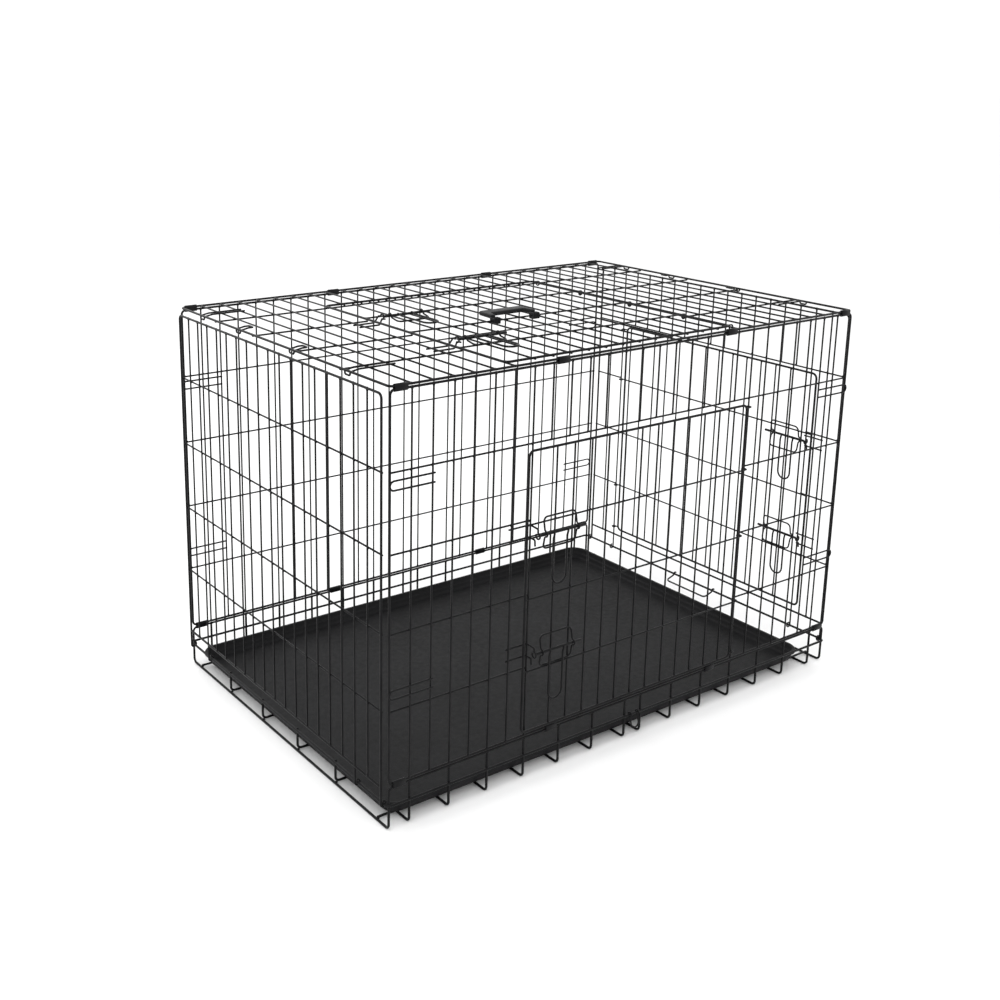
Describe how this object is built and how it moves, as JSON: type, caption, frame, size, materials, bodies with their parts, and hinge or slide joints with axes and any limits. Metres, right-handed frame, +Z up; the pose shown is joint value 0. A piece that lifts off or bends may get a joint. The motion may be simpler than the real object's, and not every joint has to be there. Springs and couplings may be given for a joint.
{
  "type": "folding wire dog crate",
  "caption": "Folding wire dog crate with hinged panels, front, end and top doors, slide-bolt latches, a sliding plastic tray and a carry handle.",
  "frame": {"origin": "on the floor, under the middle of the crate", "axes": "+X towards the end with the end door, -Y the front with the side door, +Z up"},
  "size_m": [1.1028, 0.7331, 0.7502],
  "materials": {
    "coated_wire": "satin black electro-coat over steel wire",
    "tray_plastic": "fine-grained moulded black ABS",
    "handle_plastic": "satin moulded black polypropylene"
  },
  "bodies": {
    "base": {"base_floor_wires": "coated_wire", "base_risers": "coated_wire", "base_long_wires": "coated_wire", "base_end_posts": "coated_wire", "base_side_rings": "coated_wire", "base_end_rings": "coated_wire", "base_lips": "coated_wire"},
    "tray": {"tray": "tray_plastic"},
    "tray_stop": {"tray_stop": "coated_wire"},
    "fold_hook": {"fold_hook": "coated_wire"},
    "back_panel": {"back_uprights": "coated_wire", "back_rails": "coated_wire", "back_corner_hooks": "coated_wire", "back_sleeves": "coated_wire"},
    "front_panel": {"front_uprights": "coated_wire", "front_rails": "coated_wire", "front_corner_hooks": "coated_wire", "front_sleeves": "coated_wire", "front_keepers": "coated_wire"},
    "top_panel": {"top_cross_wires": "coated_wire", "top_long_wires": "coated_wire", "top_end_hooks": "coated_wire", "top_sleeves": "coated_wire", "top_keepers": "coated_wire"},
    "left_end": {"left_uprights": "coated_wire", "left_rails": "coated_wire", "left_hinge_loops": "coated_wire"},
    "right_end": {"right_uprights": "coated_wire", "right_rails": "coated_wire", "right_hinge_loops": "coated_wire", "right_keepers": "coated_wire"},
    "front_door": {"front_door_uprights": "coated_wire", "front_door_rails": "coated_wire", "front_door_curls": "coated_wire", "front_door_guides": "coated_wire"},
    "end_door": {"end_door_uprights": "coated_wire", "end_door_rails": "coated_wire", "end_door_curls": "coated_wire", "end_door_guides": "coated_wire"},
    "top_door": {"top_door_cross_wires": "coated_wire", "top_door_long_wires": "coated_wire", "top_door_curls": "coated_wire", "top_door_guides": "coated_wire"},
    "front_upper_bolt": {"front_upper_bolt": "coated_wire"},
    "front_lower_bolt": {"front_lower_bolt": "coated_wire"},
    "end_upper_bolt": {"end_upper_bolt": "coated_wire"},
    "end_lower_bolt": {"end_lower_bolt": "coated_wire"},
    "top_rear_bolt": {"top_rear_bolt": "coated_wire"},
    "top_front_bolt": {"top_front_bolt": "coated_wire"},
    "carry_handle": {"carry_handle": "handle_plastic", "handle_clips": "handle_plastic"}
  },
  "joints": [
    {"name": "crate_fold", "type": "hinge", "parent": "base", "child": "back_panel", "pos_m": [0, 0.355, 0.076], "axis": [-1, 0, 0], "range_deg": [0, 83]},
    {"name": "top_fold", "type": "hinge", "parent": "back_panel", "child": "top_panel", "pos_m": [0, 0.355, 0.7277], "axis": [1, 0, 0], "range_deg": [0, 83]},
    {"name": "front_fold", "type": "hinge", "parent": "base", "child": "front_panel", "pos_m": [0, -0.355, 0.076], "axis": [-1, 0, 0], "range_deg": [0, 83]},
    {"name": "left_end_fold", "type": "hinge", "parent": "base", "child": "left_end", "pos_m": [-0.537, 0, 0.045], "axis": [0, 1, 0], "range_deg": [0, 90]},
    {"name": "right_end_fold", "type": "hinge", "parent": "base", "child": "right_end", "pos_m": [0.537, 0, 0.045], "axis": [0, -1, 0], "range_deg": [0, 88.4]},
    {"name": "front_door_hinge", "type": "hinge", "parent": "front_panel", "child": "front_door", "pos_m": [0.25658, -0.355, 0.34], "axis": [0, 0, -1], "range_deg": [-110, 0]},
    {"name": "end_door_hinge", "type": "hinge", "parent": "right_end", "child": "end_door", "pos_m": [0.5417, 0.26872, 0.34], "axis": [0, 0, -1], "range_deg": [-98, 0]},
    {"name": "top_door_hinge", "type": "hinge", "parent": "top_panel", "child": "top_door", "pos_m": [0.21711, 0, 0.7329], "axis": [0, -1, 0], "range_deg": [-110, 0]},
    {"name": "front_upper_bolt_slide", "type": "slide", "parent": "front_door", "child": "front_upper_bolt", "axis": [-1, 0, 0], "range_m": [0, 0.012]},
    {"name": "front_lower_bolt_slide", "type": "slide", "parent": "front_door", "child": "front_lower_bolt", "axis": [-1, 0, 0], "range_m": [0, 0.012]},
    {"name": "end_upper_bolt_slide", "type": "slide", "parent": "end_door", "child": "end_upper_bolt", "axis": [0, -1, 0], "range_m": [0, 0.012]},
    {"name": "end_lower_bolt_slide", "type": "slide", "parent": "end_door", "child": "end_lower_bolt", "axis": [0, -1, 0], "range_m": [0, 0.012]},
    {"name": "top_rear_bolt_slide", "type": "slide", "parent": "top_door", "child": "top_rear_bolt", "axis": [-1, 0, 0], "range_m": [0, 0.012]},
    {"name": "top_front_bolt_slide", "type": "slide", "parent": "top_door", "child": "top_front_bolt", "axis": [-1, 0, 0], "range_m": [0, 0.012]},
    {"name": "carry_handle_hinge", "type": "hinge", "parent": "top_door", "child": "carry_handle", "pos_m": [-0.07126, -0.0765, 0.7371], "axis": [1, 0, 0], "range_deg": [0, 150]},
    {"name": "tray_slide", "type": "slide", "parent": "base", "child": "tray", "axis": [1, 0, 0], "range_m": [0, 0.6]},
    {"name": "tray_stop_hinge", "type": "hinge", "parent": "base", "child": "tray_stop", "pos_m": [0.537, 0, 0.045], "axis": [0, -1, 0], "range_deg": [0, 72]},
    {"name": "fold_hook_hinge", "type": "hinge", "parent": "base", "child": "fold_hook", "pos_m": [0, -0.3586, 0.045], "axis": [1, 0, 0], "range_deg": [-150, 0]}
  ],
  "couplings": [
    {"joint": "top_fold", "follows": "crate_fold", "ratio": 1},
    {"joint": "front_fold", "follows": "crate_fold", "ratio": 1}
  ]
}
